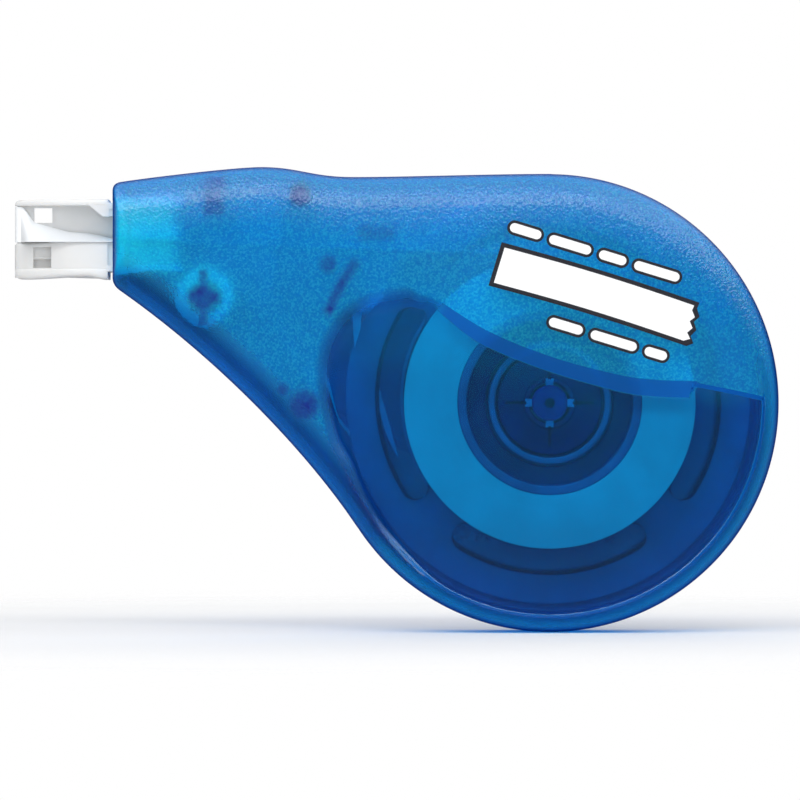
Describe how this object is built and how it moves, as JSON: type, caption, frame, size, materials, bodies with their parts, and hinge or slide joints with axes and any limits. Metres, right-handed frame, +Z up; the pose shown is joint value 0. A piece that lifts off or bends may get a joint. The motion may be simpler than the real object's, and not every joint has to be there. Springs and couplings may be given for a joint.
{
  "type": "correction_tape_roller",
  "caption": "Hand-held correction tape roller: translucent two-shell case, flat nose with a thin blade, and a supply reel and a take-up reel stacked on one axle",
  "frame": {"origin": "on the axle of the reels, in the plane of the flat back of the case", "axes": "+X from the nose to the round end, +Y out of the flat back (the window faces -Y), +Z up along the height of the case"},
  "size_m": [0.09, 0.015, 0.0546],
  "materials": {
    "case_plastic": "translucent blue moulding, fine grain on the outside, smooth window",
    "nose_plastic": "white moulding, satin",
    "correction_tape": "opaque white coat on a thin film",
    "carrier_film": "bare translucent film",
    "reel_plastic": "blue moulding, smooth",
    "friction_rubber": "dark elastomer"
  },
  "bodies": {
    "case": {"front_shell": "case_plastic", "back_shell": "case_plastic", "applicator_nose": "nose_plastic", "tape_fresh_run": "correction_tape", "tape_used_run": "carrier_film"},
    "supply": {"supply_core": "reel_plastic", "tape_roll": "correction_tape"},
    "take_up": {"take_up_reel": "reel_plastic", "used_film_winding": "carrier_film", "friction_ring": "friction_rubber", "snap_cap": "reel_plastic"}
  },
  "joints": [
    {"name": "supply_spin", "type": "hinge", "parent": "case", "child": "supply", "pos_m": [0, -0.0102, 0], "axis": [0, -1, 0], "continuous": true},
    {"name": "take_up_spin", "type": "hinge", "parent": "case", "child": "take_up", "pos_m": [0, -0.0045, 0], "axis": [0, -1, 0], "continuous": true}
  ],
  "couplings": [
    {"joint": "take_up_spin", "follows": "supply_spin", "ratio": 0.7885}
  ]
}
